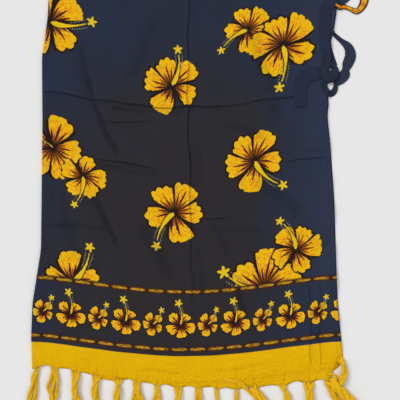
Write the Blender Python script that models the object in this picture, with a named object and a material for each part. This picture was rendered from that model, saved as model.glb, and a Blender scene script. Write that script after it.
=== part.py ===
"""Wrap skirt laid flat: a fringed rectangle of printed cloth, folded in half along its length.

The fold is at -X, the side edges and the ties are at +X, the waist is at +Y and the hem at -Y.
The underside lies on z = 0. Lengths are in metres, and the tables give millimetres where they say so.
"""

import math

import bmesh
import bpy
import numpy as np
from mathutils import Vector
from mathutils.bvhtree import BVHTree

MM = 0.001

# Cloth
CLOTH_WALL = 1.5 * MM
LAYER_GAP = 0.5 * MM
SEAM_GAP = 0.3 * MM
CLOTH_LENGTH = 752 * MM  # waist seam to hem, at the middle
WAIST_Y = 393 * MM
BOW_DEPTH = 28 * MM  # every crosswise thread hangs this much lower at the middle
BOW_POWER = 1.4
HEM_TILT = 30 * MM  # the hem ends this much lower at the side edges than at the fold
HEM_TILT_POWER = 6
FOLD_BULGE = 3.5 * MM  # how much higher the cloth stands at the rounded fold
FOLD_BULGE_REACH = 22 * MM
FOLD_SEGMENTS = 6
LOWER_COLUMNS = 14
ROW_STEP = 28 * MM
NEAREST_ROWS = 9 * MM

# Waistband
BAND_HEIGHT = 32 * MM
BAND_WALL = 2.0 * MM
BAND_ROWS = 3

# Outline in millimetres: (down from the waist seam, x)
FOLD_EDGE = (
    (0, -262),
    (89, -267),
    (160, -277.5),
    (279, -276.5),
    (526, -279.3),
    (574, -286.7),
    (631, -295.5),
    (697, -298),
    (752, -296),
)
SIDE_EDGE = (
    (0, 280),
    (70, 279.9),
    (107, 276.3),
    (131, 269.2),
    (194, 265),
    (219, 261.3),
    (249, 265),
    (268, 261.8),
    (336, 268.5),
    (431, 275),
    (564, 279.3),
    (621, 281.6),
    (678, 287.3),
    (752, 293),
)
LOWER_LAYER_PEEKS = 2 * MM  # past the upper layer's side edge

# The largest folds of the upper layer in millimetres:
# (name, from across, from down, to across, to down, half width, height)
FOLDS = (
    ("packing crease", 278, 51, 280, 621, 20, 2.6),
    ("first crossing crease", 10, 226, 465, 229, 18, 2.3),
    ("second crossing crease, left", 108, 340, 215, 345, 17, 1.9),
    ("second crossing crease, right", 452, 351, 530, 350, 17, 1.6),
    ("third crossing crease", 300, 443, 362, 440, 17, 1.7),
    ("soft ridge, lower left", 15, 474, 130, 475, 17, 1.3),
    ("soft ridge, lower right", 350, 470, 425, 470, 17, 1.3),
    ("long slanting trough's edge", 70, 127, 150, 323, 26, 2.0),
    ("lower slanting ridge", 95, 373, 143, 500, 24, 1.5),
)
FOLD_END_TAPER = 35 * MM
# The cloth is smooth under the ties: past this place across and above this place down
SMOOTH_PAST = 470 * MM
SMOOTH_ABOVE = 290 * MM
SMOOTH_FADE = 30 * MM

# Hem tassels in millimetres: (root x, lean of the tip, the lower layer's tassel beside it)
TASSELS = (
    (-285, -11, 3),
    (-250, -4, -11),
    (-217.5, 9, -3),
    (-177.5, 1, 2),
    (-134, 0, -2),
    (-98, 16, -10),
    (-60, 0, 3),
    (-20, 0, -2),
    (24, -4, -10),
    (54, 2, 3),
    (91, 2, -3),
    (127, 28, 4),
    (181.5, 10, 2),
    (227, 4, -2),
    (270, 40, -4),
)
SCALLOP_DEPTH = 5 * MM
LOWER_HEM_SHORTER = 2 * MM
BACKING_WIDTH = 4 * MM
TASSEL_LENGTH = 84 * MM
LOCK_WIDTH = 5.5 * MM
LOCK_APART = 1 * MM
LOCK_TIP = 0.45
LOCK_SEGMENTS = 4
LOCK_SETTLES = 2.5  # a lock reaches its own height after one part in this many of its length
LEAN_POWER = 1.3
UPPER_LOCK_Z = (2.8 * MM, 5.6 * MM)
LOWER_LOCK_Z = (0.4 * MM, 2.3 * MM)
LOWER_BACKING_Z = (0.3 * MM, 1.5 * MM)
BACKING_END = 6 * MM  # from the last lock to the end of the backing strip

# Ties
TIE_CLOTH = 1.8 * MM
YELLOW_CLOTH = 1.3 * MM
STRAP_STEP = 6 * MM
STRAP_COLUMNS = 4
ROUTE_SAMPLES = 12  # between two of a route's own points, before it is divided into steps
LAY_REACH = 9 * MM  # a strap clears whatever lies this near below it
LAY_RAYS = 8
# Centre lines in millimetres: (x, y, width)
TIE_RUN = (
    (268, 409, 21),
    (283, 408, 21),
    (296, 400, 21),
    (303, 384, 21),
    (303, 366, 21),
    (297, 352, 21),
    (284, 345.5, 21),
    (270, 341, 21),
    (261, 328, 21),
    (258, 306, 21),
    (258, 285, 21),
    (259, 262, 21),
    (263, 236, 21),
    (268, 211, 20),
)
TIE_LOOP = (
    (273, 280, 7),
    (281, 272, 8),
    (291, 263.5, 10),
    (304, 252.5, 16),
    (309, 236, 19),
    (303, 218.5, 20),
    (297, 202, 18),
    (288, 192.5, 17),
    (276.5, 189.5, 15),
)
TIE_BIGHT = (
    (258.5, 187, 8),
    (256.5, 175, 9),
    (261, 164.5, 12),
    (269.5, 162, 12),
    (277.5, 168, 9),
    (280, 177, 7),
)
TIE_TAIL = (
    (250, 203, 18),
    (235, 208.5, 21),
    (219, 204, 24),
    (211.5, 188, 24.5),
    (211, 165, 24.5),
    (211.5, 137.5, 24.5),
)
TIE_YELLOW = (
    (284, 411, 14),
    (301, 419, 16),
    (322, 415, 16),
    (336, 398, 16),
    (339, 374, 17),
    (336, 352, 17),
    (331, 332, 14),
    (320, 320.5, 9),
    (308, 325.5, 7),
    (296, 330.5, 6),
    (286, 328, 7),
    (278, 331, 6),
)
KNOT_PLACE = (267 * MM, 200 * MM)
KNOT_SIZE = (37 * MM, 34 * MM, 11 * MM)
KNOT_TURN = math.radians(25)
KNOT_FLAT = 0.35  # the share of the knot's half height that its flat underside cuts off
KNOT_PINCH = 0.16

# Colours as linear red, green, blue, and roughness
LOOKS = {
    "printed_black": ((0.012, 0.014, 0.019), 0.85),
    "tie_black": ((0.010, 0.012, 0.019), 0.85),
    "border_yellow": ((0.62, 0.36, 0.012), 0.8),
    "fringe_gold": ((0.52, 0.27, 0.012), 0.75),
}


def clear_scene():
    for thing in list(bpy.data.objects):
        bpy.data.objects.remove(thing, do_unlink=True)


def material(name):
    look = bpy.data.materials.get(name)
    if look is None:
        colour, roughness = LOOKS[name]
        look = bpy.data.materials.new(name)
        look.use_nodes = True
        shader = look.node_tree.nodes["Principled BSDF"]
        shader.inputs["Base Color"].default_value = (*colour, 1)
        shader.inputs["Roughness"].default_value = roughness
        shader.inputs["Metallic"].default_value = 0.0
    return look


def finish_object(bm, name, look):
    """Turns a bmesh into a named object with outward faces and its own material."""
    bmesh.ops.recalc_face_normals(bm, faces=bm.faces)
    mesh = bpy.data.meshes.new(name)
    bm.to_mesh(mesh)
    bm.free()
    mesh.materials.append(material(look))
    thing = bpy.data.objects.new(name, mesh)
    bpy.context.scene.collection.objects.link(thing)
    return thing


def edge_x(edge, down):
    """The x of a side of the outline, this far down from the waist seam."""
    rows = np.array(edge) * MM
    return float(np.interp(down, rows[:, 0], rows[:, 1]))


def bow(share):
    """How much lower a crosswise thread lies, this share of the way from the fold to the side edge."""
    return BOW_DEPTH * max(0.0, math.sin(math.pi * share)) ** BOW_POWER


def cloth_y(share, down):
    tilt = HEM_TILT * (share - 0.5) * max(0.0, down / CLOTH_LENGTH) ** HEM_TILT_POWER
    return WAIST_Y - down - bow(share) - tilt


def smooth_step(t):
    t = min(1.0, max(0.0, t))
    return t * t * (3 - 2 * t)


def fold_lift(across, down):
    """How far the folds lift the upper layer at a place on the cloth."""
    lift = 0.0
    for _, across_0, down_0, across_1, down_1, half_width, height in FOLDS:
        start = Vector((across_0, down_0)) * MM
        end = Vector((across_1, down_1)) * MM
        along = (end - start).normalized()
        length = (end - start).length
        offset = Vector((across, down)) - start
        run = offset.dot(along)
        aside = abs(offset.x * along.y - offset.y * along.x) / (half_width * MM)
        if aside < 1:
            taper = smooth_step(run / FOLD_END_TAPER) * smooth_step((length - run) / FOLD_END_TAPER)
            lift += height * MM * (1 - aside * aside) ** 2 * taper
    under_ties = smooth_step((across - SMOOTH_PAST) / SMOOTH_FADE + 1)
    under_ties *= smooth_step((SMOOTH_ABOVE - down) / SMOOTH_FADE)
    return lift * (1 - under_ties)


def cloth_rows():
    """Distances down from the waist seam: even rows, and rows along the crossing folds."""
    fold_rows = []
    for _, _, down_0, _, down_1, half_width, _ in FOLDS:
        if abs(down_1 - down_0) < half_width:
            middle = (down_0 + down_1) / 2
            fold_rows += [middle, middle - half_width, middle + half_width]
    rows = [0.0, CLOTH_LENGTH]
    even = np.linspace(0, CLOTH_LENGTH, round(CLOTH_LENGTH / ROW_STEP) + 1)
    for row in [value * MM for value in fold_rows] + even.tolist():
        if min(abs(row - other) for other in rows) >= NEAREST_ROWS:
            rows.append(row)
    return sorted(rows)


def hem_shares():
    """Shares across the hem: each tassel's root, and the top of the scallop between two roots."""
    left = edge_x(FOLD_EDGE, CLOTH_LENGTH)
    right = edge_x(SIDE_EDGE, CLOTH_LENGTH)
    roots = [(root * MM - left) / (right - left) for root, _, _ in TASSELS]
    tops = [(a + b) / 2 for a, b in zip(roots, roots[1:])]
    return roots, tops


def section(down, shares_upper, shares_lower, wall, y_of, lift_of):
    """Outer and inner points of the folded wall at one row, from the lower side edge to the upper one."""
    left = edge_x(FOLD_EDGE, down)
    right = edge_x(SIDE_EDGE, down)
    width = right - left
    base = 2 * wall + LAYER_GAP
    radius = (base + FOLD_BULGE) / 2
    outer, inner = [], []
    for share in sorted(shares_lower, reverse=True):
        x = left + share * width + LOWER_LAYER_PEEKS * share
        y = y_of(share, down, False)
        outer.append((x, y, 0.0))
        inner.append((x, y, wall))
    y = y_of(0.0, down, False)
    for step in range(FOLD_SEGMENTS + 1):
        angle = -math.pi / 2 - math.pi * step / FOLD_SEGMENTS
        reach = (math.cos(angle), math.sin(angle))
        outer.append((left + radius + radius * reach[0], y, radius + radius * reach[1]))
        near = radius - wall
        inner.append((left + radius + near * reach[0], y, radius + near * reach[1]))
    for share in shares_upper:
        x = left + share * width
        aside = (x - left - radius) / FOLD_BULGE_REACH
        top = base + FOLD_BULGE * math.exp(-aside * aside) + lift_of(x - left, down)
        y = y_of(share, down, True)
        outer.append((x, y, top))
        inner.append((x, y, top - wall))
    return outer, inner


def folded_wall(name, look, downs, shares_upper, shares_lower, wall, y_of, lift_of):
    """A closed wall through C-shaped sections: the lower layer, the fold and the upper layer."""
    bm = bmesh.new()
    outer, inner = [], []
    for down in downs:
        points = section(down, shares_upper, shares_lower, wall, y_of, lift_of)
        outer.append([bm.verts.new(p) for p in points[0]])
        inner.append([bm.verts.new(p) for p in points[1]])
    last = len(outer[0]) - 1
    for row in range(len(downs) - 1):
        for col in range(last):
            for wall_side in (outer, inner):
                bm.faces.new((
                    wall_side[row][col],
                    wall_side[row][col + 1],
                    wall_side[row + 1][col + 1],
                    wall_side[row + 1][col],
                ))
        for col in (0, last):
            bm.faces.new((outer[row][col], outer[row + 1][col], inner[row + 1][col], inner[row][col]))
    for row in (0, len(downs) - 1):
        for col in range(last):
            bm.faces.new((outer[row][col], outer[row][col + 1], inner[row][col + 1], inner[row][col]))
    return finish_object(bm, name, look)


def panel_y(share, down, upper):
    """The cloth's y, with the upper hem scalloped between the tassels and the lower one a little shorter."""
    y = cloth_y(share, down)
    if down < CLOTH_LENGTH:
        return y
    if not upper:
        return y + LOWER_HEM_SHORTER
    _, tops = hem_shares()
    at_top = min(abs(share - top) for top in tops) < 1e-6
    return y + SCALLOP_DEPTH * at_top


def columns():
    """Shares across the cloth at which its upper and its lower layer have points."""
    roots, tops = hem_shares()
    return sorted([*roots, *tops, 1.0]), np.linspace(roots[0], 1.0, LOWER_COLUMNS).tolist()


def skirt_panel():
    return folded_wall(
        "skirt_panel",
        "printed_black",
        cloth_rows(),
        *columns(),
        CLOTH_WALL,
        panel_y,
        fold_lift,
    )


def waistband():
    return folded_wall(
        "waistband",
        "tie_black",
        np.linspace(-BAND_HEIGHT, -SEAM_GAP, BAND_ROWS).tolist(),
        *columns(),
        BAND_WALL,
        lambda share, down, upper: cloth_y(share, down),
        lambda across, down: 0.0,
    )


def tree_of(thing):
    mesh = thing.data
    return BVHTree.FromPolygons(
        [vertex.co.copy() for vertex in mesh.vertices],
        [tuple(face.vertices) for face in mesh.polygons],
    )


def resting_height(x, y, trees):
    """The height at which a piece laid at this place clears everything under it and near it."""
    highest = 0.0
    spots = [(x, y)]
    for ray in range(LAY_RAYS):
        angle = 2 * math.pi * ray / LAY_RAYS
        for reach in (LAY_REACH / 2, LAY_REACH):
            spots.append((x + reach * math.cos(angle), y + reach * math.sin(angle)))
    for spot in spots:
        for tree in trees:
            place = tree.ray_cast(Vector((*spot, 1.0)), Vector((0, 0, -1)))[0]
            if place is not None:
                highest = max(highest, place.z + SEAM_GAP)
    return highest


def smooth_route(route, step):
    """Points a step apart on a smooth curve through a route's own points, with each column smoothed alike."""
    points = [np.array(row, float) * MM for row in route]
    points = [2 * points[0] - points[1], *points, 2 * points[-1] - points[-2]]
    fine = []
    for a, b, c, d in zip(points, points[1:], points[2:], points[3:]):
        for t in np.linspace(0, 1, ROUTE_SAMPLES, endpoint=False):
            bend = (2 * a - 5 * b + 4 * c - d) * t**2 + (3 * b - a - 3 * c + d) * t**3
            fine.append(b + ((c - a) * t + bend) / 2)
    fine = np.array([*fine, points[-2]])
    runs = np.linalg.norm(np.diff(fine[:, :2], axis=0), axis=1)
    along = np.concatenate([[0], np.cumsum(runs)])
    at = np.linspace(0, along[-1], round(along[-1] / step))
    return np.stack([np.interp(at, along, fine[:, k]) for k in range(fine.shape[1])], axis=1)


def strap(name, look, route, thickness, below):
    """A flat strap that follows its route over whatever lies below it."""
    trees = [tree_of(thing) for thing in below]
    centre = smooth_route(route, STRAP_STEP)
    heading = np.gradient(centre[:, :2], axis=0)
    heading /= np.linalg.norm(heading, axis=1)[:, None]
    bm = bmesh.new()
    rings = []
    for (x, y, width), (ahead_x, ahead_y) in zip(centre, heading):
        under, over = [], []
        for column in range(STRAP_COLUMNS):
            aside = width * (column / (STRAP_COLUMNS - 1) - 0.5)
            place_x = x - ahead_y * aside
            place_y = y + ahead_x * aside
            z = resting_height(place_x, place_y, trees)
            under.append(bm.verts.new((place_x, place_y, z)))
            over.append(bm.verts.new((place_x, place_y, z + thickness)))
        rings.append(under + over[::-1])
    count = len(rings[0])
    for ring, following in zip(rings, rings[1:]):
        for k in range(count):
            after = (k + 1) % count
            bm.faces.new((ring[k], ring[after], following[after], following[k]))
    for ring in (rings[0], rings[-1]):
        for k in range(STRAP_COLUMNS - 1):
            bm.faces.new((ring[k], ring[k + 1], ring[count - 2 - k], ring[count - 1 - k]))
    return finish_object(bm, name, look)


def knot(below):
    """The knot lies on the straps that run into it: a flattened round with a pinched waist."""
    trees = [tree_of(thing) for thing in below]
    bm = bmesh.new()
    bmesh.ops.create_uvsphere(bm, u_segments=16, v_segments=10, radius=1)
    corners = []
    for vertex in bm.verts:
        flat = max(vertex.co.z, -1 + KNOT_FLAT)
        pinch = 1 - KNOT_PINCH * math.cos(math.pi * vertex.co.x / 2) ** 4
        x = vertex.co.x * KNOT_SIZE[0] / 2
        y = vertex.co.y * pinch * KNOT_SIZE[1] / 2
        vertex.co = (
            KNOT_PLACE[0] + x * math.cos(KNOT_TURN) - y * math.sin(KNOT_TURN),
            KNOT_PLACE[1] + x * math.sin(KNOT_TURN) + y * math.cos(KNOT_TURN),
            (flat + 1 - KNOT_FLAT) * KNOT_SIZE[2] / (2 - KNOT_FLAT),
        )
        corners.append((vertex.co.x, vertex.co.y))
    base = max(resting_height(x, y, trees) for x, y in corners)
    bmesh.ops.translate(bm, verts=bm.verts, vec=(0, 0, base))
    return finish_object(bm, "tie_knot", "tie_black")


def hem_point(x, upper):
    """The hem's y at this x, along the wall's own straight stretches."""
    left = edge_x(FOLD_EDGE, CLOTH_LENGTH)
    right = edge_x(SIDE_EDGE, CLOTH_LENGTH)
    if upper:
        roots, tops = hem_shares()
        shares = [0.0, *sorted([*roots, *tops]), 1.0]
        xs = [left + share * (right - left) for share in shares]
    else:
        shares = [0.0, *columns()[1]]
        xs = [left + share * (right - left + LOWER_LAYER_PEEKS) for share in shares]
    ys = [panel_y(share, CLOTH_LENGTH, upper) for share in shares]
    return float(np.interp(x, xs, ys))


def backing_stations(upper):
    """Places along the hem: (x, lean of the lock that starts here or None)."""
    stations = []
    shifted = [(root + (0 if upper else beside), lean) for root, lean, beside in TASSELS]
    for root, lean in shifted:
        for side in (-1, 1):
            middle = root * MM + side * (LOCK_WIDTH + LOCK_APART) / 2
            stations.append((middle - LOCK_WIDTH / 2, lean * MM))
            stations.append((middle + LOCK_WIDTH / 2, None))
    first = stations[0][0] - BACKING_END
    last = stations[-1][0] + BACKING_END
    between = [((a[0] + b[0]) / 2 * MM, None) for a, b in zip(shifted, shifted[1:])]
    return sorted([(first, None), *stations, *between, (last, None)], key=lambda row: row[0])


def lock(bm, root_face, lean, z_range):
    """Extrudes one lock of the fringe out of the backing strip's free side."""
    root = root_face.calc_center_median()
    heights = [vertex.co.z for vertex in root_face.verts]
    root_low, root_thick = min(heights), max(heights) - min(heights)
    lock_low, lock_thick = z_range[0], z_range[1] - z_range[0]
    face = root_face
    for step in range(1, LOCK_SEGMENTS + 1):
        t = step / LOCK_SEGMENTS
        face = bmesh.ops.extrude_discrete_faces(bm, faces=[face])["faces"][0]
        centre = face.calc_center_median()
        taper = 1 - (1 - LOCK_TIP) * t**2
        settle = smooth_step(t * LOCK_SETTLES)
        low = root_low + (lock_low - root_low) * settle
        thick = (root_thick + (lock_thick - root_thick) * settle) * taper
        for vertex in face.verts:
            side = math.copysign(LOCK_WIDTH / 2 * taper, vertex.co.x - centre.x)
            above = vertex.co.z > centre.z
            vertex.co = (
                root.x + lean * t**LEAN_POWER + side,
                root.y - TASSEL_LENGTH * t,
                low + thick * above,
            )


def fringe(name, upper):
    """A hem's tassels on their backing strip, each of two locks."""
    if upper:
        top = 2 * CLOTH_WALL + LAYER_GAP
        strip_z = (top - CLOTH_WALL, top)
        lock_z = UPPER_LOCK_Z
    else:
        strip_z = LOWER_BACKING_Z
        lock_z = LOWER_LOCK_Z
    bm = bmesh.new()
    rings = []
    stations = backing_stations(upper)
    low, high = strip_z
    for x, _ in stations:
        near = hem_point(x, upper) - SEAM_GAP
        free = near - BACKING_WIDTH
        corners = ((x, near, low), (x, near, high), (x, free, high), (x, free, low))
        rings.append([bm.verts.new(corner) for corner in corners])
    root_faces = []
    for (ring, following), (_, lean) in zip(zip(rings, rings[1:]), stations):
        for k in range(4):
            after = (k + 1) % 4
            face = bm.faces.new((ring[k], ring[after], following[after], following[k]))
            if k == 2 and lean is not None:
                root_faces.append((face, lean))
    bm.faces.new(rings[0])
    bm.faces.new(rings[-1])
    for face, lean in root_faces:
        lock(bm, face, lean, lock_z)
    return finish_object(bm, name, "fringe_gold")


def main():
    clear_scene()
    panel = skirt_panel()
    band = waistband()
    run = strap("tie_run", "tie_black", TIE_RUN, TIE_CLOTH, [panel, band])
    loop = strap("tie_loop", "tie_black", TIE_LOOP, TIE_CLOTH, [panel])
    bight = strap("tie_bight", "tie_black", TIE_BIGHT, TIE_CLOTH, [panel])
    tail = strap("tie_tail", "tie_black", TIE_TAIL, TIE_CLOTH, [panel])
    knot([panel, run, loop, bight, tail])
    strap("tie_yellow", "border_yellow", TIE_YELLOW, YELLOW_CLOTH, [panel, band, run])
    fringe("fringe_upper", True)
    fringe("fringe_lower", False)


main()
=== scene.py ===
import math

import bmesh
import bpy
import numpy as np
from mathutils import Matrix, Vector
from mathutils.bvhtree import BVHTree


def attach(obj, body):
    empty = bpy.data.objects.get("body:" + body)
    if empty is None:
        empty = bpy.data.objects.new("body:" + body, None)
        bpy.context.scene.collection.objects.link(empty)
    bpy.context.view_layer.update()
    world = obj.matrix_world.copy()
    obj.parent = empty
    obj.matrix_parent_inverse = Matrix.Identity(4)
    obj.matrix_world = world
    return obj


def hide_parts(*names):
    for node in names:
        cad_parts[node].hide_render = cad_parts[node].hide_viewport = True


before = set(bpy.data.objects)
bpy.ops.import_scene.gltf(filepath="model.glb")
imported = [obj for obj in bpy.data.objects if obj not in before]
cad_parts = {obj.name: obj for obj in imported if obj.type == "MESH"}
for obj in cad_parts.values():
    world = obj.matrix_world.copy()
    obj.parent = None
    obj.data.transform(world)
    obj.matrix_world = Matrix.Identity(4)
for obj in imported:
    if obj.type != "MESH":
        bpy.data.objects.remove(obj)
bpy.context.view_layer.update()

MM = 0.001
MARK = "surface"  # the attribute that holds each point's place on its own cloth, strap or yarn
# The hollow darkens the printed cloth's colour: painted shade in the creases.
HOLLOW = "hollow"  # the attribute that says how deep in a crease a point lies, from -1 on a ridge to 1

# Camera: straight above, with the photograph's frame on the cloth
FRAME_WIDTH = 760 * MM
FRAME_CENTRE = (21.85 * MM, -38 * MM)
LENS = 50
SENSOR = 36

# Cloth
CLOTH_THICKNESS = 0.5 * MM
CLOTH_LENGTH = 752 * MM
WAIST_Y = 393 * MM
BOW_DEPTH = 28 * MM
BOW_POWER = 1.4
HEM_TILT = 30 * MM
HEM_TILT_POWER = 6
UPPER_TOP = 3.2 * MM  # the upper layer's surface where nothing lifts it
FOLD_BULGE = 3.2 * MM
FOLD_BULGE_REACH = 20 * MM
EDGE_SOFTNESS = 9 * MM
EDGE_SPOTS = 7
LOWER_COLUMNS = 26
FOLD_COLUMNS = 8
UPPER_COLUMNS = 160
CLOTH_ROWS = 236
LOWER_LAYER_PEEKS = 2 * MM
BAND_HEIGHT = 32 * MM
BAND_THICKNESS = 1.2 * MM
BAND_ROWS = 14
SEAM_GAP = 0.3 * MM
SIDE_HEM = 8 * MM
SIDE_HEM_RISE = 0.45 * MM
SIDE_HEM_STEP = 1.5 * MM
SIDE_WAVE = 0.8 * MM
SIDE_WAVE_LENGTH = 63 * MM
SIDE_WAVE_REACH = 14 * MM
SIDE_WAVE_FROM = 180 * MM  # down from the waist seam
SIDE_WAVE_FADE = 60 * MM
HEM_SINK = 0.9 * MM
HEM_SINK_REACH = 18 * MM
STITCH_ROWS = (3 * MM, 29 * MM)  # above the waist seam
STITCH_WIDTH = 1.2 * MM
STITCH_DEPTH = 0.4 * MM
BAND_RISE = 1.3 * MM
PUCKER_HEIGHT = 0.35 * MM
PUCKER_LENGTH = 4.1 * MM
PUCKER_DRIFT = 31 * MM

# Outline in millimetres: (down from the waist seam, x)
FOLD_EDGE = (
    (0, -262), (89, -267), (160, -277.5), (279, -276.5), (526, -279.3), (574, -286.7),
    (631, -295.5), (697, -298), (752, -296),
)
SIDE_EDGE = (
    (0, 280), (70, 279.9), (107, 274.5), (131, 268.2), (194, 265), (219, 261.3), (249, 265),
    (268, 261.8), (336, 268.5), (431, 275), (564, 279.3), (621, 281.6), (678, 287.3),
    (752, 293),
)

# Creases on the print's places in millimetres: (x, y, x, y, half width, height, pressed or soft)
CREASES = (
    (1, 380, -1, 160, 7, 1.2, "pressed"),
    (-1, 175, 4, 20, 6, 2.0, "pressed"),
    (4, 35, 7, -200, 7, 1.1, "pressed"),
    (-255, 95, -254, -40, 4, -0.5, "soft"),
    (24, 94, 24, 18, 5, -0.7, "soft"),
    (20, -96, 28, -181, 6, -0.8, "soft"),
    (-276, 166, -100, 163, 6, 1.3, "pressed"),
    (-120, 163, 60, 165, 6, 1.7, "pressed"),
    (40, 164, 212, 165, 6, 1.2, "pressed"),
    (-150, 154, 10, 157, 7, -1.3, "soft"),
    (-159, 126, -73, 133, 5, 0.9, "pressed"),
    (-168, 53, -64, 48, 6, 1.3, "pressed"),
    (-170, 41, -50, 36, 8, -1.0, "soft"),
    (189, 43, 259, 43, 6, 1.1, "pressed"),
    (215, 56, 262, 58, 7, -0.9, "soft"),
    (27, -48, 78, -45, 5, 1.2, "pressed"),
    (41, -48, 60, -73, 5, -0.9, "soft"),
    (60, -73, 75, -117, 6, -0.9, "soft"),
    (-263, -85, -149, -77, 7, -0.8, "soft"),
    (69, -73, 145, -78, 6, -0.9, "soft"),
    (-206, 264, -188, 185, 8, -1.1, "soft"),
    (-190, 196, -161, 118, 6, -2.0, "soft"),
    (-166, 130, -134, 66, 7, -1.6, "soft"),
    (-176, 190, -146, 110, 8, 1.2, "soft"),
    (-228, 250, -205, 160, 14, 1.0, "soft"),
    (-181, -17, -156, -66, 7, -1.4, "soft"),
    (-158, -60, -134, -105, 6, -1.7, "soft"),
    (-148, -50, -122, -98, 8, 1.1, "soft"),
    (92, -172, 111, -244, 5, -1.5, "soft"),
    (231, -195, 232, -345, 4, 0.9, "pressed"),
    (250, -185, 250, -352, 4, 0.8, "pressed"),
    (-95, -336, -14, -337, 4, -0.5, "soft"),
    (250, -132, 270, -113, 6, -0.9, "soft"),
    (120, 300, 180, 120, 16, -0.9, "soft"),
    (-60, 330, -110, 210, 14, -0.8, "soft"),
    (130, 20, 215, -60, 14, -0.8, "soft"),
    (-90, -60, -30, -160, 14, -0.9, "soft"),
    (60, 130, 150, 100, 9, -0.8, "soft"),
    (205, 130, 262, 118, 7, -0.8, "soft"),
    (-240, -20, -215, -150, 12, -0.7, "soft"),
    (45, -335, 150, -332, 5, -0.4, "soft"),
    (-556, 380, -560, -330, 7, 1.2, "pressed"),
    (-835, 160, -290, 166, 7, 1.2, "pressed"),
)
RELIEF_GAIN = 1.5
CREASE_TAPER = 28 * MM
CREASE_WANDER = 1.6 * MM
WANDER_LENGTH = 17 * MM
# The pressed creases' lines are grooves in the bump, darkened in colour as painted shade.
CREASE_LINE = 3.2 * MM
DARKEST_LINE = 1.6  # the height in millimetres from which a pressed crease's line is at its darkest
SWELL_WAVES = 9
SWELL_HEIGHT = 0.35 * MM
SWELL_LENGTHS = (45, 130)  # in millimetres
SWELL_SEED = 4
CLOTH_LIFT = 0.4 * MM
FOLD_CALM = 16 * MM  # creases fade out this near the fold
HOLLOW_DEPTH = 2.0 * MM
LOWEST_CREASE = -2.4 * MM
# The cloth is smooth under the ties: right of this x and above this y
SMOOTH_CORNER = (192 * MM, 110 * MM)
SMOOTH_FADE = 30 * MM

# Hem in millimetres: where the tassels' roots are, and how much further down each gap's edge hangs
HEM_ROOTS = (-286.5, -254, -214, -174.5, -133.5, -98, -60, -20, 19, 53, 91, 127, 180, 228, 268)
HEM_SAGS = (0, 0, 2, 8, -1, 0, 0, 0, -1, 2, 2, 3, -1, -1)
HEM_DROP = 13 * MM
SCALLOP_DEPTH = 9.5 * MM
SCALLOP_POWER = 2.8
HEM_ZONE = 90 * MM
CORNER_FROM = 262 * MM
CORNER_RISE = 41 * MM
CORNER_REACH = 20 * MM
HEM_ZONE_POWER = 1.5
GATHER_REACH = (14 * MM, 9 * MM)  # the shortest, and how much longer the longest is
GATHER_LEAN = 0.18
GATHER_WIDTH = 3.2 * MM
GATHER_DEPTH = 1.3 * MM

# Hem tassels in millimetres: (root x, lean at a third, at two thirds and at the tip, width, plies)
TASSELS = (
    (-287.5, -8, -13, -11, 9, 2),
    (-258, -6, 1, 2, 8, 2),
    (-251, 4, -3, -6, 7, 2),
    (-214, 0, 5, 8, 13, 3),
    (-174.5, -3, -1, 0, 13, 3),
    (-133.5, -3, 0, 2, 13, 3),
    (-98, 9, 16, 22, 11, 3),
    (-101, -6, -9, -10, 6, 2),
    (-62, -4, -6, -7, 8, 2),
    (-58, 4, 5, 4, 8, 2),
    (-20, 0, 1, 0, 12, 3),
    (16, -2, -3, -3, 8, 2),
    (22, 2, 2, 4, 8, 2),
    (53, 1, 2, 2, 7, 2),
    (91, 0, 1, 2, 8, 2),
    (180, 11, 17, 20, 12, 3),
    (228, 1, 3, 4, 16, 3),
    (262, 16, 32, 46, 9, 2),
)
# How far aside the lower layer's tassels lie in millimetres, and their shares of it down their length
LOWER_ASIDE = (-5, -5, -3, 2, -2, -6, 3, -2, -7, 3, -3, 4)
LOWER_BEND = (0.6, 1.0, 1.3)
CORNER_ASIDE = (14, -3, 36)
CORNER_BEND = (0.4, 0.8, 1.0)
LOWER_WIDTH = 9.1 * MM
# Loose cords that lie over the row in millimetres: (width, plies, points of the route)
LOOSE_CORDS = (
    (9, 2, ((62, -379), (90, -381), (114, -399), (132, -414), (152, -442))),
    (15, 3, ((119, -392), (130, -404), (143, -417), (158, -438))),
    (19, 3, ((268, -376), (288, -400), (307, -417), (328, -440))),
    (13, 2, ((285, -336), (292, -347), (294.5, -361), (290, -375), (284, -388))),
    (5, 2, ((262, -366), (274, -369), (284, -376), (292, -392))),
)
TASSEL_LENGTH = 84 * MM
TASSEL_INSIDE = 7  # millimetres from its root into the hem
CORD_STEP = 1.5 * MM
CORD_SIDES = 10
TWIST_PITCH = (62, 100)  # in millimetres
CORD_WAVER = 0.9 * MM
WAVER_LENGTH = (7, 11)  # in millimetres
PLY_SHARE = {2: 0.27, 3: 0.25}  # of the cord's width, by the number of plies
WIND_SHARE = 0.25  # how far its plies wind off its middle, of its width
SQUASH = 0.62  # how flat the plies lie
FRAY_FROM = 0.88  # of its length
# What each row rests on, and the height of its roots
LOWER_ROW = (0.3 * MM, 2.2 * MM)
UPPER_ROW = (2.2 * MM, 3.2 * MM)
LOOSE_ROW = (3.4 * MM, 4.0 * MM)

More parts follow.
